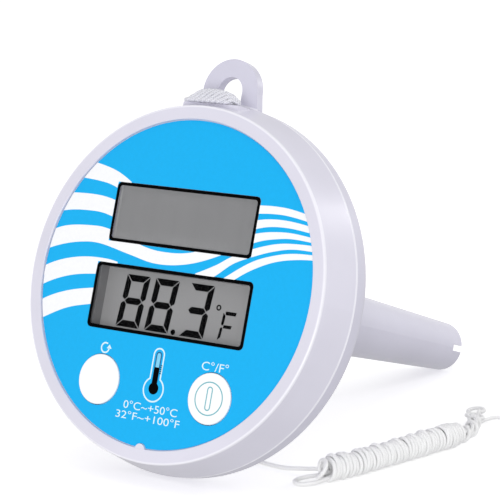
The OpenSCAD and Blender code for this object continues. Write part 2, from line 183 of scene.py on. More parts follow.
def moulded_nodes(name, colour, rough=0.38, grain_mm=0.35, depth_mm=0.012, shift=0.025):
    """Injection-moulded plastic: slight cloudiness, fine grain, uneven gloss."""
    n = Nodes(name)
    cloud = n.noise(38, 4)
    low, high = shaded(colour, 1 - shift), shaded(colour, 1 + shift)
    n.link(n.ramp(cloud, low, high), n.shader.inputs["Base Color"])
    grain = n.noise(1 / (grain_mm * MM), 2)
    n.link(n.span(n.noise(160, 3), rough - 0.05, rough + 0.06),
           n.shader.inputs["Roughness"])
    n.bump(grain, depth_mm)
    return n


def moulded(name, colour, *finish):
    """The finished material of moulded_nodes, where nothing is added to it."""
    return moulded_nodes(name, colour, *finish).material


def printed(name, colour, rough=0.42, gloss=0.3):
    """Ink on a film: nearly even colour with a fine print grain."""
    n = Nodes(name).set(Specular_IOR_Level=gloss)
    low = shaded(colour, 0.975)
    n.link(n.ramp(n.noise(900, 2), low, colour), n.shader.inputs["Base Color"])
    n.link(n.span(n.noise(70, 3), rough - 0.05, rough + 0.05),
           n.shader.inputs["Roughness"])
    n.bump(n.noise(4200, 2), 0.004)
    return n.material


def metal(name, colour, rough=0.3):
    """Plated metal with fine drawing lines."""
    n = Nodes(name)
    stretch = n.add("ShaderNodeMapping")
    stretch.inputs["Scale"].default_value = (40, 1, 1)
    n.link(n.place, stretch.inputs["Vector"])
    lines = n.noise(260, 4, stretch.outputs["Vector"])
    low = shaded(colour, 0.85)
    n.link(n.ramp(lines, low, colour), n.shader.inputs["Base Color"])
    n.link(n.span(lines, rough - 0.08, rough + 0.12), n.shader.inputs["Roughness"])
    n.bump(lines, 0.006)
    n.set(Metallic=1.0)
    return n.material


def clear_lens(name):
    """Clear acrylic: seen through, with a soft reflection where it turns away."""
    face_shine = 0.004
    n = Nodes(name)
    see = n.add("ShaderNodeBsdfTransparent")
    see.inputs["Color"].default_value = (0.97, 0.975, 0.98, 1)
    shine = n.add("ShaderNodeBsdfGlossy")
    n.link(n.span(n.noise(55, 3), 0.03, 0.09), shine.inputs["Roughness"])
    facing = n.add("ShaderNodeLayerWeight").outputs["Facing"]
    share = n.combine(n.combine(facing, 5, "POWER"), face_shine)
    both = n.add("ShaderNodeMixShader")
    n.link(share, both.inputs["Fac"])
    n.link(see.outputs["BSDF"], both.inputs[1])
    n.link(shine.outputs["BSDF"], both.inputs[2])
    out = n.tree.nodes["Material Output"]
    n.link(both.outputs["Shader"], out.inputs["Surface"])
    n.tree.nodes.remove(n.shader)
    return n.material


def solar_glass(name):
    """Amorphous silicon behind glass: flat grey with faint cell lines, and a painted glow that
    lightens it.
    """
    n = Nodes(name)
    lines = n.add("ShaderNodeTexWave", wave_type="BANDS", bands_direction="X")
    lines.inputs["Scale"].default_value = 38
    lines.inputs["Distortion"].default_value = 0
    n.link(n.place, lines.inputs["Vector"])
    fine = n.combine(lines.outputs["Fac"], 24, "POWER")
    n.link(n.ramp(fine, srgb(150, 149, 150), srgb(144, 143, 144), 0, 1),
           n.shader.inputs["Base Color"])
    # Painted light: the cell glows so that it looks lit down in its recess.
    n.set(Emission_Color=srgb(138, 138, 138), Emission_Strength=0.62)
    n.link(n.span(n.noise(30, 3), 0.28, 0.36), n.shader.inputs["Roughness"])
    n.bump(n.noise(900, 2), 0.003)
    return n.material


def lcd_glass(name):
    """The grey field of a reflective display, with its faint polariser grain and a painted glow.
    """
    n = Nodes(name)
    n.link(n.ramp(n.noise(46, 3), srgb(122, 120, 120), srgb(129, 127, 127)),
           n.shader.inputs["Base Color"])
    # Painted light: the display glass glows so that it looks lit down in its recess.
    n.set(Emission_Color=srgb(140, 140, 140), Emission_Strength=0.42)
    n.link(n.span(n.noise(1500, 2), 0.32, 0.42), n.shader.inputs["Roughness"])
    n.bump(n.noise(3000, 2), 0.003)
    return n.material


def braid(name, colour, depth_mm=0.11, groove_shade=0.88):
    """Braided cord, from the UV map: u in cord diameters along it, v once round."""
    strands, pitch = 4.0, 1.1
    n = Nodes(name)
    uv = n.add("ShaderNodeUVMap", uv_map="braid").outputs["UV"]
    parts = n.add("ShaderNodeSeparateXYZ")
    n.link(uv, parts.inputs["Vector"])
    along = n.combine(parts.outputs["X"], 2 * math.pi / pitch, "MULTIPLY")
    round_it = n.combine(parts.outputs["Y"], 2 * math.pi * strands / 2, "MULTIPLY")

    def lobes(operation):
        wave = n.add("ShaderNodeMath", operation="SINE")
        n.link(n.combine(along, round_it, operation), wave.inputs[0])
        return n.combine(wave.outputs["Value"], wave.outputs["Value"], "MULTIPLY")

    over = n.combine(lobes("ADD"), lobes("SUBTRACT"), "MAXIMUM")
    yarn = n.noise(2600, 3)
    height = n.combine(over, n.combine(yarn, 0.35, "MULTIPLY"))
    # Painted shade: the colour is darker down in the braid's grooves, with a random yarn tone on
    # top.
    n.link(n.ramp(height, shaded(colour, groove_shade), colour, 0.15, 0.8), n.shader.inputs["Base Color"])
    n.link(n.span(yarn, 0.6, 0.85), n.shader.inputs["Roughness"])
    n.bump(height, depth_mm)
    n.set(Sheen_Weight=0.25, Sheen_Roughness=0.4, Subsurface_Weight=0.15,
          Subsurface_Scale=0.0006, Subsurface_Radius=(1, 1, 1))
    return n.material


def face_place(n):
    """A shader's place in the float's own axes, in millimetres."""
    back = FACE.inverted()
    node = n.add("ShaderNodeMapping")
    node.inputs["Scale"].default_value = back.to_scale()
    node.inputs["Rotation"].default_value = back.to_euler()
    node.inputs["Location"].default_value = back.to_translation()
    n.link(n.place, node.inputs["Vector"])
    return node.outputs["Vector"]


def near_circle(n, place, radius, z, width):
    """1 near the circle of that radius round the float's axis, 0 a width away."""
    full_share = 0.3
    flat = n.add("ShaderNodeVectorMath", operation="MULTIPLY")
    flat.inputs[1].default_value = (1, 1, 0)
    n.link(place, flat.inputs[0])
    out = n.add("ShaderNodeVectorMath", operation="LENGTH")
    n.link(flat.outputs["Vector"], out.inputs[0])
    parts = n.add("ShaderNodeSeparateXYZ")
    n.link(place, parts.inputs["Vector"])
    across = n.combine(out.outputs["Value"], radius, "SUBTRACT")
    along = n.combine(parts.outputs["Z"], z, "SUBTRACT")
    square = n.combine(n.combine(across, across, "MULTIPLY"),
                      n.combine(along, along, "MULTIPLY"))
    mask = n.add("ShaderNodeMapRange", interpolation_type="SMOOTHSTEP")
    mask.inputs["From Min"].default_value = width**2
    mask.inputs["From Max"].default_value = (full_share * width)**2
    n.link(square, mask.inputs["Value"])
    return mask.outputs["Result"]


# Circles round the float's axis where a highlight is painted: the radius, the height z and the
# width of the line
RIM_HIGHLIGHT = (54.6, 0.6, 0.75)
WAIST_HIGHLIGHT = (57.6, -12.2, 0.6)


def shell_plastic(name, colour, rough):
    """The shells' plastic, with a painted highlight: lighter along the rim's edge and along the
    joint.
    """
    n = moulded_nodes(name, colour, rough)
    n.set(Coat_Weight=0.3, Coat_Roughness=0.12)
    place = face_place(n)
    # Painted highlight: a lighter band of colour along the rim's edge and along the joint between
    # the shells.
    edge = n.combine(near_circle(n, place, *RIM_HIGHLIGHT),
                     near_circle(n, place, *WAIST_HIGHLIGHT), "MAXIMUM")
    base = n.shader.inputs["Base Color"]
    plain = base.links[0].from_socket
    # A Mix node has sockets of the same name for each kind of data, so the colour
    # ones are taken by number.
    mix = n.add("ShaderNodeMix", data_type="RGBA")
    factor, first, second = (mix.inputs[k] for k in (0, 6, 7))
    n.link(edge, factor)
    n.link(plain, first)
    # The painted highlight's colour.
    second.default_value = srgb(243, 242, 250)
    n.link(mix.outputs[2], base)
    return n.material


WHITE = shell_plastic("white_shell", srgb(222, 220, 233), 0.34)
BUTTON = moulded("white_button", srgb(254, 254, 255), 0.4, 0.25, 0.006, 0.005)
# A darker copy of the shell white, as painted shade on the rear shell and the probe tube.
REAR_SHADED_WHITE = shell_plastic("white_rear_shell_painted_shade", srgb(212, 210, 225), 0.3)
SLOT_MATERIALS = {
    "shell": WHITE,
    "label": printed("blue_film", srgb(20, 180, 244), 0.42, 0.15),
    "window": clear_lens("clear_lens"),
    "solar": solar_glass("solar_glass"),
    "carrier": moulded("carrier_plastic", srgb(205, 205, 208)),
    "display_dark": moulded("display_frame", srgb(136, 135, 136), 0.5),
    "lcd": lcd_glass("display_glass"),
    "elastomer": moulded("contact_rubber", srgb(222, 160, 172), 0.6),
    "board": moulded("board_green", srgb(22, 96, 58), 0.4, 0.5, 0.02, 0.08),
    "chip": moulded("chip_black", srgb(28, 28, 30), 0.45),
    "nickel": metal("nickel", srgb(205, 203, 196)),
    "steel": metal("steel", srgb(190, 192, 196), 0.34),
    "rubber": moulded("seal_rubber", srgb(40, 40, 42), 0.65, 0.2, 0.02),
    "plug": moulded("soft_plug", srgb(222, 221, 230), 0.6, 0.2, 0.02),
    "button": BUTTON,
    "switch": moulded("switch_body", srgb(52, 52, 56), 0.45),
    "socket": moulded("socket_white", srgb(236, 232, 220), 0.45),
    "wire_red": moulded("wire_red", srgb(190, 36, 34), 0.45),
    "wire_black": moulded("wire_black", srgb(30, 30, 32), 0.45),
    "cord": braid("white_braid", srgb(254, 254, 254)),
}
# A darker copy of the cord's braid for the knot, as painted shade, with deeper painted shade in
# its grooves.
SHADED_KNOT_BRAID = braid("knot_braid_painted_shade", srgb(238, 238, 246), depth_mm=0.16, groove_shade=0.7)
INK_WHITE = printed("ink_white", srgb(252, 253, 255))
INK_PALE = printed("ink_pale", srgb(222, 247, 255))
INK_BLACK = printed("ink_black", srgb(4, 4, 5), 0.3, 0.02)
INK_TEAL = printed("ink_teal", srgb(118, 186, 196))
INK_TUBE = printed("ink_tube", srgb(30, 100, 150))
INK_SKY = printed("ink_sky", srgb(130, 212, 246))
SEGMENT = printed("display_segment", srgb(2, 2, 3), 0.35, 0.01)


def dress_cad_nodes():
    """The material of its slot for each CAD node, with a darker white behind as painted shade."""
    slot_of = {p["node"]: p["material_slot"] for p in frame["record"]["subparts"]}
    for name, node in frame["nodes"].items():
        node.data.materials.clear()
        rear = name in ("rear_housing", "probe_tube")
        node.data.materials.append(REAR_SHADED_WHITE if rear else SLOT_MATERIALS[slot_of[name]])


# ------------------------------------------------------------- mesh and curves

def make(name, points, faces, material, place=FACE, body="float", slot=None, uvs=None):
    """A piece from points in millimetres, put in place and riding on a body."""
    mesh = bpy.data.meshes.new(name)
    mesh.from_pydata([place @ Vector(p) for p in points], [], faces)
    mesh.validate()
    for polygon in mesh.polygons:
        polygon.use_smooth = uvs is not None
    if uvs is not None:
        layer = mesh.uv_layers.new(name="braid")
        values = [uvs[loop.vertex_index] for loop in mesh.loops]
        layer.data.foreach_set("uv", np.array(values, np.float32).ravel())
    mesh.materials.append(material)
    piece = bpy.data.objects.new(name, mesh)
    bpy.context.scene.collection.objects.link(piece)
    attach(piece, body)
    return piece


def smooth_line(points, steps):
    """A Catmull-Rom line through the points, with that many steps between two."""
    p = np.array(points, float)
    p = np.vstack([2 * p[0] - p[1], p, 2 * p[-1] - p[-2]])
    line = []
    for a, b, c, d in zip(p, p[1:], p[2:], p[3:]):
        for t in np.arange(steps) / steps:
            line.append(0.5 * (2 * b + (c - a) * t + (2 * a - 5 * b + 4 * c - d) * t**2
                               + (3 * b - a - 3 * c + d) * t**3))
    return np.array(line + [p[-2]])


def evenly(line, step):
    """The line again, with its points one step apart."""
    along = np.r_[0, np.cumsum(np.linalg.norm(np.diff(line, axis=0), axis=1))]
    at = np.linspace(0, along[-1], max(2, round(along[-1] / step)) + 1)
    return np.stack([np.interp(at, along, line[:, k]) for k in range(3)], axis=1)


def tube(line, radius, sides=10):
    """Points, faces and braid UVs of a round tube along the line, rounded off at
    its ends. The ring is carried along the line without twisting."""
    ways = np.gradient(line, axis=0)
    ways /= np.linalg.norm(ways, axis=1)[:, None]
    side = np.cross(ways[0], (0.3, 0.9, 0.2))
    along = np.r_[0, np.cumsum(np.linalg.norm(np.diff(line, axis=0), axis=1))]
    angles = np.arange(sides + 1) * 2 * math.pi / sides
    points, uvs = [], []
    for p, way, at in zip(line, ways, along):
        side = side - way * (side @ way)
        side /= np.linalg.norm(side)
        other = np.cross(way, side)
        end = min(at, along[-1] - at) / radius
        r = radius * math.sqrt(1 - (1 - min(1, end + 0.15)) ** 2)
        for angle in angles:
            points.append(p + r * (math.cos(angle) * side + math.sin(angle) * other))
            uvs.append((at / (2 * radius), angle / (2 * math.pi)))
    ring = sides + 1
    faces = [(i * ring + k, i * ring + k + 1, (i + 1) * ring + k + 1, (i + 1) * ring + k)
             for i in range(len(line) - 1) for k in range(sides)]
    last = (len(line) - 1) * ring
    faces.append(tuple(range(sides - 1, -1, -1)))
    faces.append(tuple(last + k for k in range(sides)))
    return points, faces, uvs


# ------------------------------------------------------------------- the cord

CORD_D = 1.3
# The free stretch, from inside the knot to the hank, in the frame's millimetres
ROUTE = [
    [-2, -47, 112.5], [-2, -44.5, 112], [-2.2, -42, 111.3], [-3, -39.8, 110.6],
    [-5, -37.8, 109.3], [-8, -36.2, 107], [-11.5, -35.4, 103.5],
    [-14.5, -35.2, 98], [-16.5, -35.2, 90], [-17.5, -35.2, 80],
    [-18, -35.2, 68], [-18, -35.2, 56], [-18, -35.2, 44], [-18, -35.2, 32],
    [-18, -35.2, 20], [-17.6, -35.4, 11], [-16, -36, 4.5], [-12, -37.5, 1.3],
    [-6, -40, 0.7], [1, -43.5, 0.7], [9, -47, 0.7], [17, -49.5, 0.7],
    [25, -50.5, 0.8], [32, -50.2, 1.6], [38, -49.5, 2.4], [42, -48.5, 2.9],
]
# The hank's middle line across the floor, from its near fold to its far one
HANK_AXIS = [(37.5, -66), (40.4, -60), (43, -53), (46.3, -42), (49, -30), (51.8, -16),
             (53.6, -5), (55.4, 5), (54.6, 13), (51, 22), (47, 30), (42.8, 38), (40, 44)]
# How far along that line the turns start, and the radius of the turns' middle line
HANK_START, HANK_R = 9.8, 3.0


def hank_point(s, side, height):
    """A point of the hank: s along its middle line from where the turns start, side
    to its right, height above the ground."""
    axis = smooth_line([(x, y, 0) for x, y in HANK_AXIS], 8)
    along = np.r_[0, np.cumsum(np.linalg.norm(np.diff(axis, axis=0), axis=1))] - HANK_START
    spot, ahead = ([np.interp(at, along, axis[:, k]) for k in (0, 1)] for at in (s, s + 1))
    x, y = ahead[0] - spot[0], ahead[1] - spot[1]
    size = math.hypot(x, y) or 1
    return [spot[0] + side * y / size, spot[1] - side * x / size, height]


def hank_strands():
    """Two doubled strands through the hank's middle. Both double back in the twisted
    part at the far end, and they meet in a small open fold at the near end. A loose
    loop at the mouth of the turns leads on into the first of them."""
    middle, core = HANK_R + CORD_D / 2, 0.95
    straight = range(14, 58, 8)
    twist_start, twist_rate, twist_reach = 60, 0.2, 1.15
    twist_height, twist_fall = 2.8, 0.018

    def twisted(s, phase):
        past = s - twist_start
        angle = twist_rate * past + phase
        height = twist_height - twist_fall * past + twist_reach * math.sin(angle)
        return (s, twist_reach * math.cos(angle), height)

    out_1 = [(12, -1.5, 3.2)] + [(s, -core, middle + core) for s in straight[1:]]
    far_tip = [(98, 1.9, 1.6), (101.6, 2.6, 1.3), (104.6, 1.2, 1.1), (104.4, -1.6, 0.9),
               (101.4, -2.9, 0.9), (97.8, -2.0, 1.1)]
    out_2 = [(s, core, middle - core) for s in reversed(straight)]
    near_fold = [(9, 0.0, 2.2), (6, -1.4, 2.0), (3, -3.3, 1.6), (0, -4.9, 1.2),
                 (-2.8, -5.4, 0.9), (-5.2, -4.4, 0.8), (-5.9, -2.1, 0.8), (-4.5, -0.2, 0.8),
                 (-1.4, 0.8, 1.0), (2.5, 0.9, 1.4), (7, 0.8, 2.4)]
    back_1 = [(s, core, middle + core) for s in straight]
    far_turn = [(84.4, -2.0, 3.4), (88.3, -2.9, 3.0), (91.2, -1.7, 2.6), (91.4, 1.0, 2.3),
                (88.4, 2.4, 2.1)]
    back_2 = [(s, -core, middle - core) for s in reversed(straight)]
    mouth_loop = [(11, -1.0, 2.4), (8, -1.3, 2.4), (5, -1.5, 2.4), (2.4, -1.3, 2.5),
                  (0.4, -0.1, 2.5), (-0.5, 1.8, 2.9), (-0.2, 3.3, 4.3), (0.8, 3.4, 5.9),
                  (1.9, 2.2, 7.0), (2.7, 0.2, 7.3), (3.2, -1.8, 6.5), (3.4, -3.0, 4.8),
                  (3.6, -3.1, 3.0), (3.7, -2.1, 1.4)]
    return (out_1 + [twisted(s, 0) for s in range(64, 96, 6)] + far_tip
            + [twisted(s, math.pi) for s in range(94, 62, -6)] + out_2 + near_fold
            + back_1 + [twisted(s, math.pi / 2) for s in range(64, 82, 6)] + far_turn
            + [twisted(s, -math.pi / 2) for s in range(82, 62, -6)] + back_2
            + mouth_loop)


def hank_turns():
    """The turns round the strands: a long group, then a fatter one, with slack
    turns standing up along the left and each turn a little out of line."""
    random = np.random.default_rng(5)
    turns, per_turn, first, last = 44, 14, 4.0, 62.5
    step_at, step_len, step_fat, step_gap = 52.5, 0.8, 0.45, 0.6
    taper_at, taper = 58, 0.6 / 6
    slack_way, slack_len = 2.1, 0.9
    # Where slack turns stand up, and by how much
    slip, swell, lean = (random.uniform(-a, a, turns + 1) for a in (0.3, 0.24, 0.6))
    slack = ((6.4, 1.5), (10.6, 1.9), (17.6, 1.5), (21.2, 0.9), (24.6, 1.2),
             (29, 0.8), (33, 1.3), (37, 0.8), (40.4, 1.2), (45.6, 1.1), (50.6, 1.0))
    middle, lowest = HANK_R + CORD_D / 2, CORD_D / 2 + 0.05
    whole = np.arange(turns + 1)
    points = []
    for i in range(turns * per_turn + 1):
        turn = i / per_turn
        angle = 2 * math.pi * turn - math.pi / 2
        s = first + (last - first) * turn / turns + np.interp(turn, whole, slip)
        share = min(1, max(0, (s - step_at) / step_len))
        fat = step_fat * share
        s += step_gap * share
        s += np.interp(turn, whole, lean) * math.sin(angle)
        r = HANK_R + fat + np.interp(turn, whole, swell)
        r -= taper * max(0, s - taper_at)
        up = max(0, math.cos(angle - slack_way))**2
        r += up * sum(a * math.exp(-((s - at) / slack_len)**2) for at, a in slack)
        height = max(lowest, middle + fat / 2 + r * math.sin(angle))
        points.append((s, r * math.cos(angle), height))
    return points


def hank_line():
    """The wound part of the cord, from where the free stretch meets it to its end:
    the strands, the turns, a few long turns round the twisted part and the tail."""
    wound = hank_turns()
    turns, per_turn, last, r, narrowing = 3, 14, 86.2, 1.95, 0.08
    first = wound[-1][0] + 0.2
    twist = []
    for i in range(1, turns * per_turn):
        t = i / (turns * per_turn)
        angle = 2 * math.pi * i / per_turn - math.pi / 2
        out = r * (1 - narrowing * t)
        twist.append((first + (last - first) * t, out * math.cos(angle),
                      out + CORD_D / 2 + out * math.sin(angle)))
    tail = [(87.6, 1.7, 1.0), (90, 3.9, 1.3), (92.2, 6.6, 1.4), (93.4, 9.8, 0.9),
            (92.8, 12.8, 0.7)]
    return [hank_point(*p) for p in hank_strands() + wound + twist + tail]


def knot_line():
    """The stopper knot: turns of the same cord round an egg shape on its pad, under
    a second layer that crosses them, in the float's own axes."""
    low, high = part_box("tether_knot")
    shift = -0.55
    half = (high.x - low.x) / 2 / MM + shift
    pad_y, z, tall, front, back = 56.2, -4.8, 4.8, 3.2, 4.4
    r, smallest = CORD_D / 2, 0.05
    points = []
    for turns, lean, inset, way in ((12, 1.5, 1.2, 1), (7, 3.4, 0, -1)):
        per_turn = 16
        for i in range(turns * per_turn + 1):
            t = i / (turns * per_turn)
            angle = 2 * math.pi * i / per_turn - math.pi / 2
            x = way * (half - r - lean * 0.7) * (2 * t - 1) + lean * math.sin(angle - 0.6)
            share = math.sqrt(max(smallest, 1 - (x / (half - r / 3))**2))
            y = pad_y + max(r, (tall - r - inset) * share**0.85 * math.sin(angle))
            deep = (front - r if math.cos(angle) > 0 else back - r) - inset / 2
            points.append([x + shift, y, z + deep * share**0.5 * math.cos(angle)])
    return smooth_line(points, 3)


def make_cord():
    """The knot and the rest of the cord, each one tube."""
    points, faces, uvs = tube(evenly(knot_line(), 0.4), CORD_D / 2)
    knot = make("knot", points, faces, SHADED_KNOT_BRAID, slot="cord", uvs=uvs)
    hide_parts("tether_knot")
    line = evenly(smooth_line(ROUTE + hank_line(), 6), 0.45)
    points, faces, uvs = tube(line, CORD_D / 2)
    cord = make("tether_cord", points, faces, SLOT_MATERIALS["cord"], GROUND,
                slot="cord", uvs=uvs)
    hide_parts("tether_run", "tether_hank")


make_cord()


# ------------------------------------------------------------ the printed face

LABEL_R = 50.1
SOLAR = (-27, 27, 10.45, 28.95)
LCD = (-29.55, 29.55, -16.6, 3.7)
CORNER_R = 1.5
BUTTONS = {"reset": -21, "unit": 21}
BUTTON_Y, BUTTON_LIFT = -32.1, 0.5
# Heights over the label: the underside of the prints and marks, and the ink's top
PRINT_BASE, MARK_BASE, INK = 0.002, 0.001, 0.03


def slab(outlines, low, high):
    """Points and faces of flat shapes from z = low to high."""
    points, faces = [], []
    for outline in outlines:
        n, first = len(outline), len(points)
        points += [(x, y, low) for x, y in outline]
        points += [(x, y, high) for x, y in outline]
        faces.append(tuple(first + n + k for k in range(n)))
        faces.append(tuple(first + k for k in range(n - 1, -1, -1)))
        faces += [(first + k, first + (k + 1) % n, first + n + (k + 1) % n, first + n + k)
                  for k in range(n)]
    return points, faces


def ring(outer, inner, low, high):
    """Points and faces of the band between two outlines with equal point counts."""
    n = len(outer)
    points = [(x, y, z) for z in (low, high) for o in (outer, inner) for x, y in o]
    faces = []
    for k in range(n):
        j = (k + 1) % n
        faces.append((2 * n + k, 2 * n + j, 3 * n + j, 3 * n + k))
        faces.append((k, n + k, n + j, j))
        faces.append((k, j, 2 * n + j, 2 * n + k))
        faces.append((n + k, 3 * n + k, 3 * n + j, n + j))
    return points, faces


def arc(cx, cy, r, start, end, steps=24):
    """Points round a centre, from a start angle to an end angle in degrees."""
    angles = np.radians(np.linspace(start, end, steps + 1))
    return [(cx + r * math.cos(a), cy + r * math.sin(a)) for a in angles]


def rounded(x0, x1, y0, y1, r):
    """A rectangle's outline with round corners."""
    return (arc(x1 - r, y1 - r, r, 0, 90, 8) + arc(x0 + r, y1 - r, r, 90, 180, 8)
            + arc(x0 + r, y0 + r, r, 180, 270, 8) + arc(x1 - r, y0 + r, r, 270, 360, 8))


# Waves: the points of each band's upper and lower edge, left to right
WAVES = [
    ([(-46, 35.8), (-37, 34.2), (-30, 32.7), (-25, 30.8), (-19, 27.6)],
     [(-50, 29.4), (-41, 29), (-34, 28.5), (-29, 27.6), (-22, 25)]),
    ([(-52, 23.4), (-44, 24), (-36, 24.2), (-30, 23.7), (-22, 22)],
     [(-52, 16.7), (-44, 18.5), (-36, 19), (-30, 18.6), (-22, 16.6)]),
    ([(-54, 9.8), (-45, 13.3), (-35, 14.4), (-27, 13.9), (-13, 10), (-4, 9.1), (5, 10),
      (15, 13.6), (27, 18), (37, 19.4), (46, 18.9), (54, 17.8)],
     [(-54, 4), (-46, 7.1), (-38, 8.9), (-30, 9.2), (-18, 7), (-8, 5.3), (2, 5.9),
      (12, 8.7), (27, 15.2), (35, 17.2), (42, 17.7), (54, 16.8)]),
    ([(-54, -1.7), (-46, 2), (-38, 4.1), (-30, 4.8), (-22, 4.2), (-12, 1)],
     [(-54, -8), (-46, -4), (-38, -1.5), (-29, -0.3), (-22, -0.2)]),
    ([(-54, -13.4), (-46, -9), (-38, -6.3), (-29, -4.6), (-22, -3.6)],
     [(-54, -20), (-46, -15.4), (-38, -11.8), (-29, -9.7), (-22, -8.6)]),
    ([(0, 0.6), (8.5, 4.2), (15, 7.3), (20, 10.3), (27, 13.4), (36, 15.9), (45, 16.5),
      (54, 16.2)],
     [(8, -0.8), (15.4, 4.1), (21, 8.3), (27, 10.9), (34, 13.3), (42, 14.8),
      (54, 14.5)]),
    ([(12, -1.2), (19, 4.1), (27, 9.3), (34, 12), (42, 13.6), (54, 13.9)],
     [(16, -2), (23, 4.1), (30, 8.2), (37, 10.8), (45, 12.1), (54, 12.5)]),
    ([(22, 21), (30, 22.6), (37, 22.9), (45, 22.1), (54, 20.6)],
     [(22, 17.8), (30, 20.2), (37, 20.8), (45, 20.2), (54, 18.8)]),
    ([(22, 26.2), (32, 26.7), (40, 26.1), (54, 23.2)],
     [(22, 23.5), (32, 24.4), (40, 24), (54, 21.6)]),
]


def left_over(low, high, x):
    """What the rim and the two windows leave of a column of the label."""
    edge = math.sqrt(max(0, LABEL_R**2 - x * x))
    spans = [(max(low, -edge), min(high, edge))]
    for x0, x1, y0, y1 in (SOLAR, LCD):
        if x0 <= x <= x1:
            cut = []
            for a, b in spans:
                cut += [(a, min(b, y0)), (max(a, y1), b)]
            spans = cut
    least = 1e-3
    return [(a, b) for a, b in spans if b - a > least]


def make_waves():
    """The white bands, cut into narrow columns that stop at the rim and windows."""
    column = 0.2
    for number, (upper, lower) in enumerate(WAVES, 1):
        upper, lower = smooth_line(upper, 12), smooth_line(lower, 12)
        start = max(-LABEL_R, max(upper[0, 0], lower[0, 0]))
        end = min(LABEL_R, min(upper[-1, 0], lower[-1, 0]))
        outlines = []
        xs = np.arange(start, end, column)
        for x in xs:
            ends = [left_over(np.interp(at, lower[:, 0], lower[:, 1]),
                              np.interp(at, upper[:, 0], upper[:, 1]), at)
                    for at in (x, x + column)]
            middle = left_over(
                np.interp(x + column / 2, lower[:, 0], lower[:, 1]),
                np.interp(x + column / 2, upper[:, 0], upper[:, 1]), x + column / 2)
            if len(ends[0]) == len(ends[1]) == len(middle):
                for (a, b), (c, d) in zip(*ends):
                    outlines.append([(x, a), (x + column, c), (x + column, d), (x, b)])
            else:
                for a, b in middle:
                    outlines.append([(x, a), (x + column, a), (x + column, b), (x, b)])
        points, faces = slab(outlines, PRINT_BASE, INK)
        make(f"wave_{number}", points, faces, INK_WHITE, slot="label")


def make_window_borders():
    """The black border printed round each window."""
    border, inner_round = 1.0, CORNER_R - 0.6
    for name, (x0, x1, y0, y1) in (("solar_border", SOLAR), ("display_border", LCD)):
        outer = rounded(x0, x1, y0, y1, CORNER_R)
        inner = rounded(x0 + border, x1 - border, y0 + border, y1 - border,
                        inner_round)
        make(name, *ring(outer, inner, PRINT_BASE, INK + 0.02), INK_BLACK, slot="window")


# ------------------------------------------------------------------ the display

DIGIT_H, DIGIT_W, SEGMENT_W, SEGMENT_GAP = 16.3, 9.0, 2.05, 0.22
SLANT = math.tan(math.radians(4.8))
DISPLAY_Z = -5.0


def segments(which):
    """Outlines of a seven-segment digit's lit segments, from its lower left."""
    w, h, t, g = DIGIT_W, DIGIT_H, SEGMENT_W, SEGMENT_GAP
    m = h / 2
    known = {
        "a": [(g, h), (w - g, h), (w - t - g, h - t), (t + g, h - t)],
        "d": [(t + g, t), (w - t - g, t), (w - g, 0), (g, 0)],
        "f": [(0, h - g), (t, h - t - g), (t, m + t / 2 + g), (t / 2, m + g), (0, m + t / 2)],
        "e": [(0, m - t / 2), (t / 2, m - g), (t, m - t / 2 - g), (t, t + g), (0, g)],
        "b": [(w, h - g), (w, m + t / 2), (w - t / 2, m + g), (w - t, m + t / 2 + g),
              (w - t, h - t - g)],
        "c": [(w, m - t / 2), (w, g), (w - t, t + g), (w - t, m - t / 2 - g),
              (w - t / 2, m - g)],
        "g": [(t / 2 + g, m), (t + g, m + t / 2), (w - t - g, m + t / 2),
              (w - t / 2 - g, m), (w - t - g, m - t / 2), (t + g, m - t / 2)],
    }
    return [known[s] for s in which]


def make_display():
    """Two full digits, a point, a third digit and the unit, on the display glass."""
    base_y = -15.0
    digits = (("abcdefg", -22.4), ("abcdefg", -11.2), ("abcdg", 2.1))
    outlines = []
    for which, x in digits:
        for outline in segments(which):
            outlines.append([(x + px + py * SLANT, base_y + py) for px, py in outline])
    outlines.append(arc(-0.2, -14.3, 0.85, 0, 345, 23))
    unit_f = [
        [(17.9, -5.7), (21.9, -5.7), (21.6, -6.8), (18.0, -6.8)],
        [(17.15, -6.2), (18.05, -7.1), (17.85, -9.5), (17.35, -10.1), (16.9, -9.6)],
        [(17.9, -9.8), (20.9, -9.8), (20.6, -10.8), (17.8, -10.8)],
        [(16.8, -10.9), (17.3, -10.5), (17.7, -11.1), (17.35, -13.6), (16.35, -14.5)],
    ]
    outlines += unit_f
    low, high = DISPLAY_Z + 0.01, DISPLAY_Z + 0.06
    make("display_digits", *slab(outlines, low, high), SEGMENT, slot="lcd")
    degree = (15.1, -4.9)
    outer, inner = (arc(*degree, r, 0, 345, 23) for r in (0.9, 0.45))
    make("display_degree", *ring(outer, inner, low, high), SEGMENT, slot="lcd")


# ------------------------------------------------------------------- the marks

def outline_of_bulb(stem, top, bulb, grow):
    """A thermometer's outline: a round-topped stem of that half-width on a bulb."""
    r, stem = bulb + grow, stem + grow
    meet = math.degrees(math.asin(stem / r))
    centre_y = -32.3
    return (arc(0, centre_y, r, 90 + meet, 450 - meet, 40)
            + arc(0, top - stem + grow, stem, 0, 180, 20))


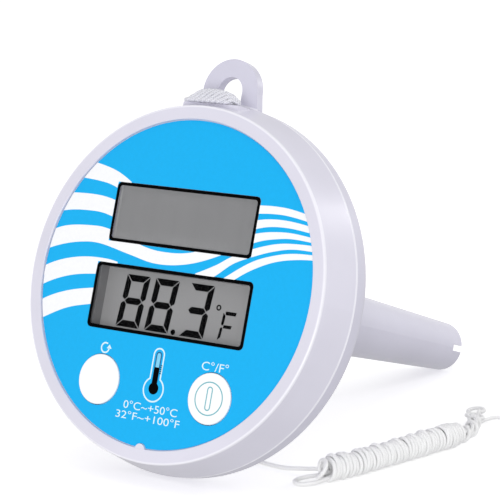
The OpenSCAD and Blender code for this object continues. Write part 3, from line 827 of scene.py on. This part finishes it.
def make_thermometer_mark():
    """A thermometer between the buttons, with its column, bulb and scale."""
    line = 0.24
    stem, top, bulb = 1.9, -19.9, 3.7
    white = ring(outline_of_bulb(stem, top, bulb, line),
                 outline_of_bulb(stem, top, bulb, -line), PRINT_BASE, INK)
    make("mark_outline", *white, INK_PALE, slot="label")
    tube_top, fill_top, bulb_y = -21.9, -25.6, -32.0
    outer = arc(0, tube_top, 1.05, 0, 180, 16) + [(-1.05, bulb_y), (1.05, bulb_y)]
    inner = arc(0, tube_top, 0.65, 0, 180, 16) + [(-0.65, bulb_y), (0.65, bulb_y)]
    make("mark_tube", *ring(outer, inner, PRINT_BASE, INK), INK_TUBE, slot="label")
    sky = arc(0, tube_top, 0.65, 0, 180, 16) + [(-0.65, fill_top), (0.65, fill_top)]
    make("mark_tube_empty", *slab([sky], MARK_BASE, INK - 0.01), INK_SKY, slot="label")
    column = [(-0.95, bulb_y), (0.95, bulb_y), (0.95, fill_top), (-0.95, fill_top)]
    make("mark_column", *slab([column], MARK_BASE, INK + 0.01), INK_BLACK, slot="label")
    make("mark_bulb", *slab([arc(0, bulb_y, 1.8, 0, 352, 44)], MARK_BASE, INK + 0.015), INK_BLACK,
         slot="label")
    ticks = [[(1.2, y - 0.12), (1.9, y - 0.12), (1.9, y + 0.12), (1.2, y + 0.12)]
             for y in (-24.9, -25.5, -26.1, -26.7, -27.3)]
    make("mark_ticks", *slab(ticks, MARK_BASE, INK + 0.02), INK_BLACK, slot="label")


def make_reset_mark():
    """A turning arrow above the plain button."""
    cx, cy, r, half = -20.8, -22.3, 1.5, 0.24
    start, end = 60, 360
    outer = arc(cx, cy, r + half, start, end, 30)
    inner = arc(cx, cy, r - half, start, end, 30)
    tip = (cx + r, cy + 1.15)
    head = [tip, (cx + r - 0.95, cy - 0.15), (cx + r + 0.95, cy - 0.15)]
    shape = outer + inner[::-1]
    make("mark_reset", *slab([shape], MARK_BASE, INK), INK_PALE, slot="label")
    make("mark_reset_head", *slab([head], MARK_BASE, INK), INK_PALE, slot="label")


def make_words():
    """The unit signs and the range, set in the built-in face to fit their boxes."""
    lines = (
        ("units", "C°/F°", (16.2, 25.9, -24.0, -21.3)),
        ("range_celsius", "0°C~+50°C", (-10.1, 10.3, -39.3, -36.8)),
        ("range_fahrenheit", "32°F~+100°F", (-12.4, 11.8, -42.4, -40.0)),
    )
    bolder = 0.001
    for name, words, (x0, x1, y0, y1) in lines:
        data = bpy.data.curves.new(name, "FONT")
        data.body = words
        data.offset = bolder
        data.resolution_u = 6
        text = bpy.data.objects.new(name, data)
        bpy.context.scene.collection.objects.link(text)
        bpy.context.view_layer.update()
        mesh = bpy.data.meshes.new_from_object(
            text.evaluated_get(bpy.context.evaluated_depsgraph_get()))
        bpy.data.objects.remove(text)
        co = np.array([v.co for v in mesh.vertices])
        low, high = co.min(0), co.max(0)
        co = (co - low) / np.maximum(high - low, 1e-9)
        points = [(x0 + (x1 - x0) * x, y0 + (y1 - y0) * y, INK) for x, y, _ in co]
        faces = [tuple(p.vertices) for p in mesh.polygons]
        bpy.data.meshes.remove(mesh)
        make(name, points, faces, INK_PALE, slot="label")


def make_unit_button_mark():
    """A ring and an upright slot, printed on the unit button."""
    cx, cy, z = BUTTONS["unit"], BUTTON_Y, BUTTON_LIFT
    line, ring_r = 0.18, 4.9
    half, length = 0.85, 2.6
    low, high = z + PRINT_BASE, z + INK
    outer, inner = (arc(cx, cy, r, 0, 355, 71) for r in (ring_r + line, ring_r - line))
    make("unit_ring", *ring(outer, inner, low, high), INK_TEAL, body="unit_button",
         slot="button")

    def pill(r):
        return arc(cx, cy + length, r, 0, 180, 12) + arc(cx, cy - length, r, 180, 360, 12)

    make("unit_slot", *ring(pill(half + line), pill(half - line), low, high),
         INK_TEAL, body="unit_button", slot="button")


dress_cad_nodes()
make_waves()
make_window_borders()
make_display()
make_thermometer_mark()
make_reset_mark()
make_words()
make_unit_button_mark()


# ------------------------------------------------------------ floor and lights

def make_floor():
    """A white floor that takes shadows but throws no light back on the object."""
    half = 6.0
    mesh = bpy.data.meshes.new("floor")
    corners = [(-half, -half, 0), (half, -half, 0), (half, half, 0), (-half, half, 0)]
    mesh.from_pydata(corners, [], [(0, 1, 2, 3)])
    n = Nodes("floor_paper")
    n.link(n.ramp(n.noise(3, 2), (0.9, 0.9, 0.9, 1), (0.93, 0.93, 0.93, 1)),
           n.shader.inputs["Base Color"])
    n.set(Roughness=0.85, Specular_IOR_Level=0.1, Emission_Color=(1, 1, 1, 1),
          Emission_Strength=0.36)
    mesh.materials.append(n.material)
    floor = bpy.data.objects.new("floor", mesh)
    floor.visible_diffuse = floor.visible_glossy = floor.visible_shadow = False
    bpy.context.scene.collection.objects.link(floor)


def area_light(name, place, aim, size, power):
    """A round soft light, aimed at a point."""
    data = bpy.data.lights.new(name, "AREA")
    data.shape = "DISK"
    data.size = size
    data.energy = power
    light = bpy.data.objects.new(name, data)
    light.location = place
    light.rotation_euler = (Vector(aim) - Vector(place)).to_track_quat("-Z", "Y").to_euler()
    bpy.context.scene.collection.objects.link(light)


def make_world():
    """A white studio: brightest round the horizon, dimmer below and dimmest above."""
    bluish = 1.01
    # Height from 0, straight down, to 1, straight up, and the shade there
    shades_at = ((0.0, 0.5), (0.38, 0.62), (0.47, 1.0), (0.58, 1.0), (0.70, 0.55),
                 (1.0, 0.36))
    world = bpy.data.worlds.new("studio")
    world.use_nodes = True
    tree = world.node_tree
    way = tree.nodes.new("ShaderNodeTexCoord").outputs["Generated"]
    parts = tree.nodes.new("ShaderNodeSeparateXYZ")
    tree.links.new(way, parts.inputs["Vector"])
    height = tree.nodes.new("ShaderNodeMapRange")
    height.inputs["From Min"].default_value = -1
    tree.links.new(parts.outputs["Z"], height.inputs["Value"])
    shades = tree.nodes.new("ShaderNodeValToRGB")
    ramp = shades.color_ramp
    for at, shade in shades_at:
        stop = ramp.elements.new(at)
        stop.color = (shade, shade, shade * bluish, 1)
    ramp.elements.remove(ramp.elements[0])
    ramp.elements.remove(ramp.elements[len(ramp.elements) - 1])
    tree.links.new(height.outputs["Result"], shades.inputs["Fac"])
    tree.links.new(shades.outputs["Color"], tree.nodes["Background"].inputs["Color"])
    tree.nodes["Background"].inputs["Strength"].default_value = 1.0
    bpy.context.scene.world = world


def make_lights():
    """A soft key light from the front, a low fill and an edge light from behind."""
    aim = (0, 0, 0.06)
    area_light("key", (0.4, -1.1, 0.12), aim, 0.5, 3.4)
    area_light("fill", (0.8, -0.7, 0.04), aim, 0.4, 0.5)
    area_light("edge", (0.5, 0.8, 0.45), aim, 0.3, 1.6)
    bpy.context.scene.view_settings.view_transform = "Standard"


make_floor()
make_world()
make_lights()
